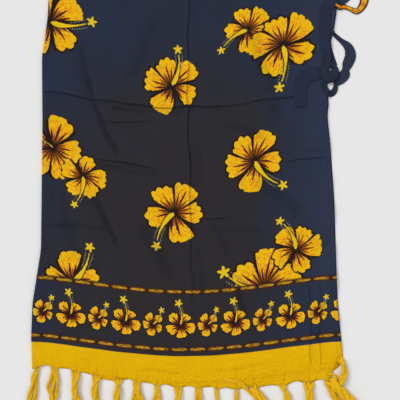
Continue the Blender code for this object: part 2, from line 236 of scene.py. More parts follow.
# Flowers on the print in millimetres: (x, y, petal radius, turn in degrees, kind, star x, star y, bend
# of the style, share of the way to the star where the style starts). The widest gap between petals is
# opposite the turn. The kind's whole part varies the petals, and its fraction moves that gap.
FLOWERS = (
    (-261, 298, 66, 176, 0, -183, 309, -1, 0.0),
    (-31, 206, 56, 108, 1, -20, 275, -1, 0.0),
    (112, 306, 45, 45, 2, 62, 270, -1, 0.0),
    (-257, 63, 61, -66, 4, -271, 71, -1, 0.0),
    (-27, -34, 58, 60, 2, -61, -99, -1, 0.0),
    (125, 54, 58, 127, 1, 179, 1, -1, 0.0),
    (145, -188, 74, 13, 4.87, 67, -150, 1, -0.15),
    (-218, -186, 57, -120, 0, -187, -117, -1, 0.0),
    (-380, 205, 58, -37, 1, -440, 250, 1, 0.0),
    (-500, 300, 44, 48, 2, -540, 255, -1, 0.0),
    (-620, 180, 60, 117, 3, -585, 110, -1, 0.0),
    (-450, 60, 60, 48, 4, -500, 5, 1, 0.0),
    (-740, 290, 58, 135, 5, -690, 240, -1, 0.0),
    (-720, 30, 62, 146, 0, -660, -10, 1, 0.0),
    (-560, -90, 58, 164, 1, -490, -110, -1, 0.0),
    (-400, -130, 46, -119, 2, -370, -75, 1, 0.0),
)
# Flowers that lie over the others
FLOWERS_OVER = (
    (179, 266, 64, 106, 3, 172, 186, 1, 0.0),
    (-199, 16, 43, -60, 5, -216, -40, 1, 0.0),
    (204, -124, 49, 62, 3, 173, -66, -1, 0.0),
)
PETALS = 5
SLICE = 2 * math.pi / PETALS
VEINS = 3.7  # long veins in a petal's slice
GAP_UNEVENNESS = 0.18
BORDER_UNEVENNESS = 0.06
FULLEST_PETAL = 0.442  # half a petal's width at most, as a share of its slice
STYLE_SWELLS_AT = 0.155
STYLE_BOW = 0.2
PETAL_REACH = 1.0
STYLE_REACH = 1.42
FAR_AWAY = (9.0, 9.0, 0.0)
BORDER_KIND = 10.0
BORDER_PITCH = 104 * MM
BORDER_Y = -247 * MM
BORDER_BIG = (-15, 28, -82, -4, 41)  # (x, petal radius, turn, star across, star up) in millimetres
BORDER_SMALL = (37, 22, -170, 16, 27)
CHAIN_Y = (-184 * MM, -293 * MM)
CHAIN_PITCH = 34.8 * MM
CHAIN_LENGTH = 28 * MM
CHAIN_HEIGHT = 7.8 * MM
UPPER_CHAIN_SHIFT = 9 * MM
PRINT_BLUR = 0.8 * MM
YELLOW_FROM = -306 * MM
ROLLED_LINE = -356 * MM
THREAD = 0.9 * MM
PRINT_WAVER = (4 * MM, 2.5 * MM)
# Noise on the cloth, in waves a metre
SLOW_NOISE = 9.0
RUMPLE_NOISE = 26.0
CRINKLE_NOISE = 30.0
PATCH_NOISE = 190.0
STROKE_NOISE = 300.0
FINE_NOISE = 330.0

# Ties: centre lines in millimetres (x, y, width)
TIE_RUN = (
    (268, 409, 21), (283, 408, 21), (296, 400, 21), (303, 384, 21), (303, 364, 21),
    (298, 349, 22), (285, 341, 22), (271, 336, 22), (261, 325, 21), (258, 306, 21),
    (258, 285, 21), (259, 262, 21), (264, 238, 23), (268.5, 215.5, 29),
)
TIE_LOOP = (
    (273, 280, 7), (281, 272, 8), (291, 263.5, 10), (303.5, 252, 17), (307.5, 236, 21),
    (302, 219.5, 20), (298.5, 209.5, 14), (296.5, 201, 21), (289, 192, 20), (276, 184, 16),
)
TIE_BIGHT = (
    (259, 190, 8), (258, 178, 9), (261.5, 168, 12), (269, 164, 13.5), (276, 168, 12),
    (279.5, 177, 9), (279, 188, 8),
)
TIE_TAIL = (
    (251, 200, 22), (237, 201, 27), (223, 194.5, 28), (213.5, 181, 26), (211, 163, 24.5),
    (211.5, 137.5, 24.5),
)
TIE_YELLOW = (
    (284, 411, 14), (301, 419, 16), (322, 415, 16), (336, 398, 16), (339, 374, 17),
    (336, 352, 17), (331, 332, 15), (320, 320, 11), (308, 324.5, 9), (296, 328.5, 9),
    (286, 327, 9), (278, 331, 6),
)
ROUTE_SAMPLES = 24
STRAP_STEP = 1.6 * MM
STRAP_COLUMNS = 14
PLEATS = 2.1
PLEAT_DRIFT = 19 * MM
SLANT_SPACING = 5.2 * MM
SLANT_DRIFT = 23 * MM
TIGHT_BEND = 18 * MM
LAY_REACH = 3.5 * MM
LAY_RAYS = 6
LAY_CLEARANCE = 0.12 * MM
# The knot in millimetres: an outer oval round a small hole that is off its middle
KNOT_PLACE = (266.5, 203)
KNOT_SIZE = (36, 40, 7)
KNOT_HOLE = (268.8, 209.3)
KNOT_HOLE_SIZE = (5.6, 6.4)
KNOT_SINK = 0.5
KNOT_SEGMENTS = (72, 40)
MERGE = 1e-7

# Colours as linear red, green, blue
CLOTH_BLACK = (0.0265, 0.0240, 0.0275)
# Painted sheen on the printed cloth, bluer towards the sides and the waist; also a random tone on the
# ties.
CLOTH_BLUE_SHEEN_AND_TONE = (0.0205, 0.0290, 0.056)
# Painted sheen, palest towards the right side.
CLOTH_PALE_SHEEN = (0.033, 0.044, 0.076)
TIE_BLACK = (0.020, 0.025, 0.045)
PETAL_GOLD = (0.76, 0.40, 0.003)
PETAL_ORANGE = (0.76, 0.19, 0.012)
PETAL_YELLOW = (0.84, 0.52, 0.003)
STYLE_YELLOW = (0.78, 0.55, 0.008)
MAROON = (0.085, 0.010, 0.007)
OUTLINE = (0.018, 0.009, 0.008)
STAMEN_PALE = (0.20, 0.19, 0.10)
BAND_YELLOW = (0.77, 0.44, 0.0005)
# Brown of the yellow band: painted shade in its creases, and browner near its rolled hem.
BAND_SHADE_AND_HEM_BROWN = (0.40, 0.15, 0.002)
BAND_STREAK = (0.55, 0.27, 0.002)
CHAIN_GROUND = (0.036, 0.018, 0.012)
CHAIN_RED = (0.11, 0.028, 0.008)
CHAIN_BROWN = (0.18, 0.066, 0.009)
CHAIN_GOLD = (0.57, 0.33, 0.014)
FRINGE_GOLD = (0.80, 0.47, 0.002)
# Painted shade in the yarn's grooves, and random browner patches.
FRINGE_BROWN_SHADE_AND_TONE = (0.50, 0.19, 0.004)
FLOOR_WHITE = (0.80, 0.80, 0.805)
FLOOR_SIZE = 60
FLOOR_Z = -0.2 * MM

# Light: (name, direction it comes from, strength, softness in degrees)
SUNS = (
    ("key", (-0.62, 0.45, 0.62), 1.7, 26),
    ("fill", (0.6, -0.2, 0.8), 0.45, 50),
)
WORLD_STRENGTH = 0.55


def smooth_step(t):
    t = np.clip(t, 0, 1)
    return t * t * (3 - 2 * t)


def edge_x(edge, down):
    """The x of a side of the outline, this far down from the waist seam, with its corners softened."""
    rows = np.array(edge) * MM
    spots = np.asarray(down)[..., None] + EDGE_SOFTNESS * np.linspace(-1, 1, EDGE_SPOTS)
    return np.interp(spots, rows[:, 0], rows[:, 1]).mean(axis=-1)


def bow(share):
    """How much lower a crosswise thread lies, this share of the way from the fold to the side edge."""
    return BOW_DEPTH * np.sin(math.pi * np.clip(share, 0, 1)) ** BOW_POWER


def cloth_y(share, down):
    tilt = HEM_TILT * (share - 0.5) * np.clip(down / CLOTH_LENGTH, 0, 1) ** HEM_TILT_POWER
    return WAIST_Y - down - bow(share) - tilt


def hem_rise(x):
    """How far the hem's edge rises above its plain line between the tassels and at the open corner."""
    roots = np.array(HEM_ROOTS) * MM
    after = np.clip(np.searchsorted(roots, x), 1, len(roots) - 1)
    between = np.clip((x - roots[after - 1]) / (roots[after] - roots[after - 1]), 0, 1)
    arch = 1 - np.abs(2 * between - 1) ** SCALLOP_POWER
    sag = np.array(HEM_SAGS)[after - 1] * MM
    corner = smooth_step((x - CORNER_FROM) / CORNER_REACH)
    return (SCALLOP_DEPTH - sag) * arch - HEM_DROP + CORNER_RISE * corner


def crease_relief(x, y):
    """The height that the creases give a place on the print."""
    relief = np.zeros_like(x)
    for number, (x0, y0, x1, y1, half_width, height, kind) in enumerate(CREASES):
        start = np.array((x0, y0)) * MM
        end = np.array((x1, y1)) * MM
        length = np.linalg.norm(end - start)
        along = (end - start) / length
        run = (x - start[0]) * along[0] + (y - start[1]) * along[1]
        aside = (x - start[0]) * along[1] - (y - start[1]) * along[0]
        aside = aside + CREASE_WANDER * np.sin(run / WANDER_LENGTH + number)
        taper = smooth_step(run / CREASE_TAPER + 0.5)
        taper = taper * smooth_step((length - run) / CREASE_TAPER + 0.5)
        across = np.abs(aside) / (half_width * MM)
        profile = np.exp(-across) if kind == "pressed" else np.exp(-across * across)
        relief += RELIEF_GAIN * height * MM * profile * taper
    return relief


def swell(x, y):
    """Slow uneven waves, the same on every run."""
    random = np.random.default_rng(SWELL_SEED)
    total = np.zeros_like(x)
    for _ in range(SWELL_WAVES):
        turn, phase = random.uniform(0, 2 * math.pi, 2)
        wave = random.uniform(*SWELL_LENGTHS) * MM
        total += np.sin((x * math.cos(turn) + y * math.sin(turn)) * 2 * math.pi / wave + phase)
    return SWELL_HEIGHT * total


def gathers(x, y_from_hem):
    """Short pinched creases that run up from each tassel's root."""
    relief = np.zeros_like(x)
    for number, root in enumerate(HEM_ROOTS):
        reach = GATHER_REACH[0] + GATHER_REACH[1] * math.sin(2.7 * number) ** 2
        fade = np.exp(-np.clip(y_from_hem, 0, None) / reach)
        lean = GATHER_LEAN * math.sin(1.9 * number)
        aside = (x - root * MM + lean * y_from_hem) / GATHER_WIDTH
        relief -= GATHER_DEPTH * fade * np.exp(-aside * aside)
    return relief


def upper_top(x, y_print, down, left, right):
    """The upper layer's surface height, and how hollow it is there."""
    from_fold = x - left
    from_side = right - x
    bulge = FOLD_BULGE * np.exp(-((from_fold / FOLD_BULGE_REACH) ** 2))
    off_fold = smooth_step(from_fold / FOLD_CALM)
    creases = crease_relief(x, y_print) * off_fold
    relief = (creases + swell(x, y_print) + CLOTH_LIFT) * off_fold
    under_ties = smooth_step((x - SMOOTH_CORNER[0]) / SMOOTH_FADE + 1)
    under_ties = under_ties * smooth_step((y_print - SMOOTH_CORNER[1]) / SMOOTH_FADE + 1)
    relief = relief * (1 - under_ties) + CLOTH_LIFT * under_ties
    hem_step = SIDE_HEM_RISE * smooth_step((SIDE_HEM - from_side) / SIDE_HEM_STEP + 1)
    wave = SIDE_WAVE * np.sin(down * 2 * math.pi / SIDE_WAVE_LENGTH)
    wave = wave * np.exp(-from_side / SIDE_WAVE_REACH) * (1 - under_ties)
    wave = wave * smooth_step((down - SIDE_WAVE_FROM) / SIDE_WAVE_FADE)
    near_hem = gathers(x, CLOTH_LENGTH - down)
    low_edge = -HEM_SINK * smooth_step((down - CLOTH_LENGTH) / HEM_SINK_REACH + 1)
    hollow = np.clip(-(creases * (1 - under_ties) + near_hem) / HOLLOW_DEPTH, -1, 1)
    lifted = np.maximum(relief + hem_step + wave + near_hem + low_edge, LOWEST_CREASE)
    return UPPER_TOP + bulge + lifted, hollow


def new_piece():
    bm = bmesh.new()
    bm.verts.layers.float_vector.new(MARK)
    bm.verts.layers.float.new(HOLLOW)
    return bm


def shaped_grid(bm, across, along, place):
    """Adds a grid. place gets the shares across and along, and gives its points and marks.
    A fourth column of the marks is the hollow."""
    made = bmesh.ops.create_grid(bm, x_segments=across, y_segments=along, size=0.5)["verts"]
    shares = np.array([vertex.co.to_tuple() for vertex in made])
    points, marks = place(shares[:, 0] + 0.5, shares[:, 1] + 0.5)
    layer = bm.verts.layers.float_vector[MARK]
    hollow = bm.verts.layers.float[HOLLOW]
    for vertex, point, mark in zip(made, points.tolist(), marks.tolist()):
        vertex.co = point
        vertex[layer] = mark[:3]
        vertex[hollow] = mark[3] if len(mark) > 3 else 0.0
    return made


def finish_piece(bm, name, look, node):
    """A bmesh as a named piece that rides on the body and stands for its CAD node."""
    mesh = bpy.data.meshes.new(name)
    bm.to_mesh(mesh)
    bm.free()
    mesh.materials.append(look)
    mesh.shade_smooth()
    piece = bpy.data.objects.new(name, mesh)
    bpy.context.scene.collection.objects.link(piece)
    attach(piece, "root")
    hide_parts(node)
    return piece


def folded_shell(down_from, down_to, height_of, y_of, peeks):
    """Places a cloth that runs from the lower side edge, round the fold, to the upper side edge."""
    total = LOWER_COLUMNS + FOLD_COLUMNS + UPPER_COLUMNS

    def place(across, along):
        column = across * total
        down = down_to + (down_from - down_to) * along
        left = edge_x(FOLD_EDGE, down)
        right = edge_x(SIDE_EDGE, down)
        radius = (UPPER_TOP + FOLD_BULGE) / 2
        flat_left = left + radius
        lower_share = np.clip(1 - column / LOWER_COLUMNS, 0, 1)
        upper_share = np.clip((column - LOWER_COLUMNS - FOLD_COLUMNS) / UPPER_COLUMNS, 0, 1)
        turned = np.clip((column - LOWER_COLUMNS) / FOLD_COLUMNS, 0, 1)
        lower_x = flat_left + lower_share * (right + peeks - flat_left)
        upper_x = flat_left + upper_share * (right - flat_left)
        angle = -math.pi / 2 - math.pi * turned
        on_lower = column < LOWER_COLUMNS - 0.5
        on_upper = column > LOWER_COLUMNS + FOLD_COLUMNS - 0.5
        fold_x = flat_left + radius * np.cos(angle)
        x = np.where(on_lower, lower_x, np.where(on_upper, upper_x, fold_x))
        share = np.clip((x - left) / (right - left), 0, 1)
        y = y_of(share, down, x)
        print_y = y + bow(share)
        upper_z, hollow = height_of(x, print_y, down, left, right)
        hollow = np.where(on_upper, hollow, 0.0)
        fold_z = radius + radius * np.sin(angle)
        z = np.where(on_lower, 0.0, np.where(on_upper, upper_z, fold_z))
        print_x = np.where(on_upper, x, flat_left - math.pi * radius * (1 - turned))
        print_x = np.where(on_lower, 2 * flat_left - math.pi * radius - x, print_x)
        return np.stack([x, y, z], 1), np.stack([print_x, print_y, right - x, hollow], 1)

    return place, total


def walled(bm, name, look, node, thickness):
    """A finished piece with its wall."""
    piece = finish_piece(bm, name, look, node)
    solid = piece.modifiers.new("thickness", "SOLIDIFY")
    solid.thickness = thickness
    solid.offset = -1
    solid.use_even_offset = True
    return piece


def skirt_cloth(look):
    def y_of(share, down, x):
        zone = np.clip((down - CLOTH_LENGTH) / HEM_ZONE + 1, 0, 1) ** HEM_ZONE_POWER
        return cloth_y(share, down) + hem_rise(x) * zone

    place, total = folded_shell(0.0, CLOTH_LENGTH, upper_top, y_of, LOWER_LAYER_PEEKS)
    bm = new_piece()
    shaped_grid(bm, total, CLOTH_ROWS, place)
    return walled(bm, "skirt_cloth", look, "skirt_panel", CLOTH_THICKNESS)


def waistband(look):
    def height_of(x, print_y, down, left, right):
        bulge = FOLD_BULGE * np.exp(-(((x - left) / FOLD_BULGE_REACH) ** 2))
        stitch = sum(np.exp(-(((down + row) / STITCH_WIDTH) ** 2)) for row in STITCH_ROWS)
        pucker = PUCKER_HEIGHT * np.sin(x / PUCKER_LENGTH + 2 * np.sin(x / PUCKER_DRIFT))
        return UPPER_TOP + bulge + BAND_RISE + (pucker - STITCH_DEPTH) * stitch, 0 * x

    def y_of(share, down, x):
        return cloth_y(share, down)

    place, total = folded_shell(-BAND_HEIGHT, -SEAM_GAP, height_of, y_of, 0.0)
    bm = new_piece()
    shaped_grid(bm, total, BAND_ROWS, place)
    return walled(bm, "waist_band", look, "waistband", BAND_THICKNESS)


def tree_of(piece):
    """The piece's surface as shown, for resting other pieces on it."""
    shown = piece.evaluated_get(bpy.context.evaluated_depsgraph_get())
    mesh = shown.to_mesh()
    points = [vertex.co.copy() for vertex in mesh.vertices]
    faces = [tuple(face.vertices) for face in mesh.polygons]
    shown.to_mesh_clear()
    return BVHTree.FromPolygons(points, faces)


def resting_height(x, y, trees):
    """The height at which a piece laid at this place clears everything under it and near it."""
    highest = 0.0
    spots = [(x, y)]
    for ray in range(LAY_RAYS):
        angle = 2 * math.pi * ray / LAY_RAYS
        spots.append((x + LAY_REACH * math.cos(angle), y + LAY_REACH * math.sin(angle)))
    for spot in spots:
        for tree in trees:
            hit = tree.ray_cast(Vector((*spot, 1.0)), Vector((0, 0, -1)))[0]
            if hit is not None:
                highest = max(highest, hit.z + LAY_CLEARANCE)
    return highest


def run_along(centre):
    """How far along a route each of its points lies."""
    return np.concatenate([[0], np.cumsum(np.linalg.norm(np.diff(centre, axis=0), axis=1))])


def heading_of(centre):
    """The direction of a route at each of its points."""
    heading = np.gradient(centre, axis=0)
    return heading / np.linalg.norm(heading, axis=1)[:, None]


def smooth_route(route, step):
    """Points a step apart on a smooth curve through a route's points, each column smoothed alike."""
    points = [np.array(row, float) * MM for row in route]
    points = [2 * points[0] - points[1], *points, 2 * points[-1] - points[-2]]
    fine = []
    for a, b, c, d in zip(points, points[1:], points[2:], points[3:]):
        for t in np.linspace(0, 1, ROUTE_SAMPLES, endpoint=False):
            bend = (2 * a - 5 * b + 4 * c - d) * t**2 + (3 * b - a - 3 * c + d) * t**3
            fine.append(b + ((c - a) * t + bend) / 2)
    fine = np.array([*fine, points[-2]])
    along = run_along(fine[:, :2])
    at = np.linspace(0, along[-1], round(along[-1] / step) + 1)
    return np.stack([np.interp(at, along, fine[:, k]) for k in range(fine.shape[1])], axis=1)


def route_length(route):
    return float(run_along(smooth_route(route, STRAP_STEP)[:, :2])[-1])


def strap(node, route, look, below, crumple, thickness, seed):
    """A limp flat strap that follows its route over what lies below it, creased along and aslant."""
    trees = [tree_of(piece) for piece in below]
    centre = smooth_route(route, STRAP_STEP)
    heading = heading_of(centre[:, :2])
    runs = run_along(centre[:, :2])
    turning = np.gradient(np.unwrap(np.arctan2(heading[:, 1], heading[:, 0])), runs)
    steps = len(centre) - 1

    def place(across, along):
        row = np.round(along * steps).astype(int)
        wide = centre[row, 2]
        aside = wide * (across - 0.5)
        x = centre[row, 0] - heading[row, 1] * aside
        y = centre[row, 1] + heading[row, 0] * aside
        rest = np.array([resting_height(a, b, trees) for a, b in zip(x, y)])
        run = runs[row]
        drift = 0.25 * np.sin(run / PLEAT_DRIFT + seed)
        pleats = 0.5 + 0.5 * np.sin(2 * math.pi * (PLEATS * across + drift))
        drift = 1.7 * np.sin(run / SLANT_DRIFT + seed)
        slant = 0.5 + 0.5 * np.sin(run / SLANT_SPACING + 5 * across + drift)
        bent = np.clip(np.abs(turning[row]) * TIGHT_BEND, 0, 1)
        fold = crumple * (0.55 * pleats + (0.25 + 0.9 * bent) * slant**2)
        roll = crumple * 0.35 * (2 * across - 1) ** 4
        off_edge = smooth_step(np.minimum(across, 1 - across) * 6 + 0.35)
        top = rest + thickness + (fold + roll) * off_edge
        return np.stack([x, y, top], 1), np.stack([across - 0.5, run, wide], 1)

    bm = new_piece()
    shaped_grid(bm, STRAP_COLUMNS, steps, place)
    bmesh.ops.recalc_face_normals(bm, faces=bm.faces)
    if sum(face.normal.z for face in bm.faces) < 0:
        bmesh.ops.reverse_faces(bm, faces=bm.faces)
    return walled(bm, node + "_cloth", look, node, thickness)


def knot(look, below):
    """A coil of the strap round a small hole, with its turns lying slantwise."""
    trees = [tree_of(piece) for piece in below]
    base = resting_height(KNOT_PLACE[0] * MM, KNOT_PLACE[1] * MM, trees)

    def place(across, along):
        turn = 2 * math.pi * across
        section = 2 * math.pi * along
        coil = 0.5 + 0.5 * np.cos(section)
        turns = 0.5 + 0.5 * np.cos(2 * turn + 3 * section)
        wavy = 1 + 0.03 * np.sin(3 * turn + 1)
        points = []
        for axis, wave in ((0, np.cos(turn)), (1, np.sin(turn))):
            inner = KNOT_HOLE[axis] + KNOT_HOLE_SIZE[axis] / 2 * wave
            outer = KNOT_PLACE[axis] + KNOT_SIZE[axis] / 2 * wave * wavy
            points.append((inner + (outer - inner) * coil) * MM)
        swollen = np.sin(section) * (0.86 + 0.14 * turns)
        height = base + swollen * np.where(swollen > 0, KNOT_SIZE[2], KNOT_SINK) * MM
        marks = np.stack([np.cos(turn), np.sin(turn), coil], 1)
        return np.stack([*points, height], 1), marks

    bm = new_piece()
    made = shaped_grid(bm, *KNOT_SEGMENTS, place)
    bmesh.ops.remove_doubles(bm, verts=made, dist=MERGE)
    bmesh.ops.recalc_face_normals(bm, faces=bm.faces)
    return finish_piece(bm, "knot", look, "tie_knot")


def strand(bm, path, radius):
    """A closed ply along a path. Its mark is the angle round it as cosine and sine, and its length."""
    heading = heading_of(path)
    aside = np.cross(heading, (0, 0, 1))
    aside /= np.linalg.norm(aside, axis=1)[:, None]
    above = np.cross(aside, heading)
    steps = len(path) - 1
    run = run_along(path)

    def place(across, along):
        row = np.round(along * steps).astype(int)
        angle = 2 * math.pi * across
        out = np.cos(angle)[:, None] * aside[row] + SQUASH * np.sin(angle)[:, None] * above[row]
        marks = np.stack([np.cos(angle), np.sin(angle), run[row]], 1)
        return path[row] + radius[row][:, None] * out, marks

    made = shaped_grid(bm, CORD_SIDES, steps, place)
    bmesh.ops.remove_doubles(bm, verts=made, dist=MERGE)
    made = [vertex for vertex in made if vertex.is_valid]
    rims = {edge for vertex in made for edge in vertex.link_edges if edge.is_boundary}
    bmesh.ops.holes_fill(bm, edges=list(rims), sides=0)


def cord(bm, route, width, plies, row, seed):
    """A loosely twisted cord along a route. Its plies start side by side and fray at the tip."""
    rests_at, root_z = row
    random = np.random.default_rng(seed)
    centre = smooth_route([(*point, 0) for point in route], CORD_STEP)[:, :2]
    run = run_along(centre)
    t = run / run[-1]
    heading = heading_of(centre)
    pitch = random.uniform(*TWIST_PITCH) * MM
    start = random.uniform(0, 2 * math.pi)
    settled = smooth_step(t * 4)
    waver = CORD_WAVER * np.sin(run / (random.uniform(*WAVER_LENGTH) * MM) + start) * settled
    ply = width * PLY_SHARE[plies]
    wind = width * WIND_SHARE
    together = smooth_step(t * 5)
    frayed = smooth_step((t - FRAY_FROM) * 8)
    spread = wind * (1 + 0.7 * frayed)
    rest = rests_at + (spread + ply) * SQUASH
    for number in range(plies):
        turn = start + 2 * math.pi * number / plies + 2 * math.pi * run / pitch
        side = (number - (plies - 1) / 2) * width * 0.5
        aside = waver + spread * np.cos(turn) * together + side * (1 - together)
        x = centre[:, 0] - heading[:, 1] * aside
        y = centre[:, 1] + heading[:, 0] * aside
        z = root_z * (1 - settled) + rest * settled + wind * SQUASH * np.sin(turn) * together
        girth = ply * (0.6 + 0.4 * smooth_step(t * 9)) * (1 - 0.55 * frayed)
        girth = girth * (1 + 0.09 * np.sin(run / (4.3 * MM) + 2 * number + start))
        strand(bm, np.stack([x, y, z], 1), girth)


def hem_edge(x):
    """The y of the hem's edge at this x."""
    left = float(edge_x(FOLD_EDGE, CLOTH_LENGTH))
    right = float(edge_x(SIDE_EDGE, CLOTH_LENGTH))
    share = (x - left) / (right - left)
    return float(cloth_y(share, CLOTH_LENGTH)) - HEM_DROP


def hanging_route(root, leans):
    """A tassel's route in millimetres, from a little inside the hem to its tip."""
    top = hem_edge(root * MM) / MM
    length = TASSEL_LENGTH / MM
    route = [(root, top + TASSEL_INSIDE), (root, top)]
    for number, lean in enumerate(leans, 1):
        route.append((root + lean, top - length * number / len(leans)))
    return route


def fringe_row(cords, name, look, node):
    """A row of cords, each given by its route, width, plies, height above the floor and seed."""
    bm = new_piece()
    for row in cords:
        cord(bm, *row)
    bmesh.ops.recalc_face_normals(bm, faces=bm.faces)
    return finish_piece(bm, name, look, node)


def fringe(look):
    """Both rows of tassels, the upper layer's lying over the lower one's."""
    upper = []
    for number, (root, *leans, width, plies) in enumerate(TASSELS):
        upper.append((hanging_route(root, leans), width * MM, plies, UPPER_ROW, number))
    for number, (width, plies, route) in enumerate(LOOSE_CORDS):
        upper.append((route, width * MM, plies, LOOSE_ROW, 30 + number))
    lower = []
    bends = [LOWER_BEND] * len(LOWER_ASIDE) + [CORNER_BEND] * len(CORNER_ASIDE)
    for number, (aside, bend) in enumerate(zip(LOWER_ASIDE + CORNER_ASIDE, bends)):
        route = hanging_route(HEM_ROOTS[number], [aside * share for share in bend])
        lower.append((route, LOWER_WIDTH, 2, LOWER_ROW, 60 + number))
    return [
        fringe_row(upper, "tassels_upper", look, "fringe_upper"),
        fringe_row(lower, "tassels_lower", look, "fringe_lower"),
    ]


def by_node(operation):
    """A method that works out a number by one math node."""
    return lambda number, *others: number.node(operation, *others)


class Number:
    """A number worked out by shader nodes, so that a pattern is written as its formula."""

    def __init__(self, tree, socket):
        self.tree = tree
        self.socket = socket

    def node(self, operation, *others):
        made = self.tree.nodes.new("ShaderNodeMath")
        made.operation = operation
        for socket, value in zip(made.inputs, (self, *others)):
            feed(self.tree, socket, value)
        return Number(self.tree, made.outputs[0])

    __add__ = by_node("ADD")
    __sub__ = by_node("SUBTRACT")
    __mul__ = by_node("MULTIPLY")
    __truediv__ = by_node("DIVIDE")
    __pow__ = by_node("POWER")
    __mod__ = by_node("FLOORED_MODULO")
    __abs__ = by_node("ABSOLUTE")
    sine = by_node("SINE")
    cosine = by_node("COSINE")
    least = by_node("MINIMUM")
    most = by_node("MAXIMUM")

    def __rsub__(self, other):
        return self.node("MULTIPLY", -1.0).node("ADD", other)

    def ramp(self, low, high):
        """0 below low and 1 above high, smooth between. low may be the larger one."""
        made = self.tree.nodes.new("ShaderNodeMapRange")
        made.interpolation_type = "SMOOTHSTEP"
        for socket, value in zip(made.inputs, (self, low, high)):
            feed(self.tree, socket, value)
        return Number(self.tree, made.outputs[0])


def feed(tree, socket, value):
    if isinstance(value, Number):
        tree.links.new(value.socket, socket)
    elif isinstance(value, bpy.types.NodeSocket):
        tree.links.new(value, socket)
    else:
        socket.default_value = value


def parts_of(tree, vector):
    """A vector socket's x, y and z."""
    made = tree.nodes.new("ShaderNodeSeparateXYZ")
    tree.links.new(vector, made.inputs[0])
    return [Number(tree, output) for output in made.outputs]


def vector_of(tree, x, y, z=0.0):
    made = tree.nodes.new("ShaderNodeCombineXYZ")
    for socket, value in zip(made.inputs, (x, y, z)):
        feed(tree, socket, value)
    return made.outputs[0]


def noise(tree, vector, scale, detail=2.0, roughness=0.5):
    made = tree.nodes.new("ShaderNodeTexNoise")
    tree.links.new(vector, made.inputs["Vector"])
    made.inputs["Scale"].default_value = scale
    made.inputs["Detail"].default_value = detail
    made.inputs["Roughness"].default_value = roughness
    return Number(tree, made.outputs["Fac"])


def mixed(tree, share, under, over):
    """over laid on under by this share. Each is a colour or a colour socket."""
    made = tree.nodes.new("ShaderNodeMix")
    made.data_type = "RGBA"
    feed(tree, made.inputs[0], share)
    for socket, value in ((made.inputs[6], under), (made.inputs[7], over)):
        feed(tree, socket, (*value, 1.0) if isinstance(value, tuple) else value)
    return made.outputs[2]


def attribute(tree, name):
    made = tree.nodes.new("ShaderNodeAttribute")
    made.attribute_name = name
    return made.outputs


def new_look(name, roughness, specular=0.06, sheen=0.0, sheen_tint=(1, 1, 1)):
    """A material with its shader's constants set, and the mark of the surface as a vector."""
    look = bpy.data.materials.new(name)
    look.use_nodes = True
    tree = look.node_tree
    shader = tree.nodes["Principled BSDF"]
    for socket, value in (
        ("Roughness", roughness),
        ("Specular IOR Level", specular),
        ("Sheen Weight", sheen),
        ("Sheen Roughness", 0.5),
        ("Sheen Tint", (*sheen_tint, 1.0)),
    ):
        shader.inputs[socket].default_value = value
    return look, tree, shader, attribute(tree, MARK)["Vector"]


def bumped(tree, shader, height, distance):
    """Bump by a height from 0 to 1, this deep."""
    made = tree.nodes.new("ShaderNodeBump")
    made.inputs["Strength"].default_value = 1.0
    made.inputs["Distance"].default_value = distance
    feed(tree, made.inputs["Height"], height)
    tree.links.new(made.outputs[0], shader.inputs["Normal"])


def weave(x, y, thread):
    """The height of a plain weave of this thread spacing."""
    turn = 2 * math.pi / thread
    return (x * turn).sine() * (y * turn).sine() * 0.5 + 0.5


def local_place(tree, place, x, y, across, up, turn, kind):
    """The place seen from a motif's own centre, in its own size and turn; z carries its kind."""
    made = tree.nodes.new("ShaderNodeMapping")
    made.vector_type = "TEXTURE"
    tree.links.new(place, made.inputs["Vector"])
    made.inputs["Location"].default_value = (x, y, -kind)
    made.inputs["Rotation"].default_value = (0, 0, turn)
    made.inputs["Scale"].default_value = (across, up, 1.0)
    return made.outputs[0]


def choose(tree, kept, candidate, reach):
    """The candidate's place where it is within reach of its own centre, else the kept one."""
    x, y, _ = parts_of(tree, candidate)
    near = (x * x + y * y).node("LESS_THAN", reach * reach)
    made = tree.nodes.new("ShaderNodeMix")
    made.data_type = "VECTOR"
    feed(tree, made.inputs[0], near)
    feed(tree, made.inputs[4], kept)
    feed(tree, made.inputs[5], candidate)
    return made.outputs[1]


def flower_added(tree, place, petal, style, x, y, radius, turn, kind, star_x, star_y, bend, share):
    """Adds a flower and its style, which runs to its star and curves one way or the other."""
    size = radius * MM
    local = local_place(tree, place, x * MM, y * MM, size, size, math.radians(turn), kind)
    petal = choose(tree, petal, local, PETAL_REACH)
    start_x = x + (star_x - x) * share
    start_y = y + (star_y - y) * share
    middle = ((start_x + star_x) / 2 * MM, (start_y + star_y) / 2 * MM)
    half = math.hypot(star_x - start_x, star_y - start_y) / 2 * MM
    turn = math.atan2(star_y - start_y, star_x - start_x)
    local = local_place(tree, place, *middle, half, bend * half, turn, kind)
    return petal, choose(tree, style, local, STYLE_REACH)


def flower_places(tree, place, flowers, with_border):
    """The place seen from the nearest flower's centre, and from the middle of the nearest style."""
    x, y, _ = parts_of(tree, place)
    petal, style = FAR_AWAY, FAR_AWAY
    for row in flowers:
        petal, style = flower_added(tree, place, petal, style, *row)
    half = BORDER_PITCH / 2
    border = (BORDER_BIG, BORDER_SMALL) if with_border else ()
    for centre, radius, turn, star_x, star_y in border:
        wrapped_x = (x - centre * MM + half) % BORDER_PITCH - half
        wrapped = vector_of(tree, wrapped_x, y - BORDER_Y)
        row = (0, 0, radius, turn, BORDER_KIND, star_x, star_y, -1, 0.0)
        petal, style = flower_added(tree, wrapped, petal, style, *row)
    return petal, style


def in_border(kind):
    """1 on the border's flowers and 0 on the others."""
    return kind.node("GREATER_THAN", BORDER_KIND - 1)


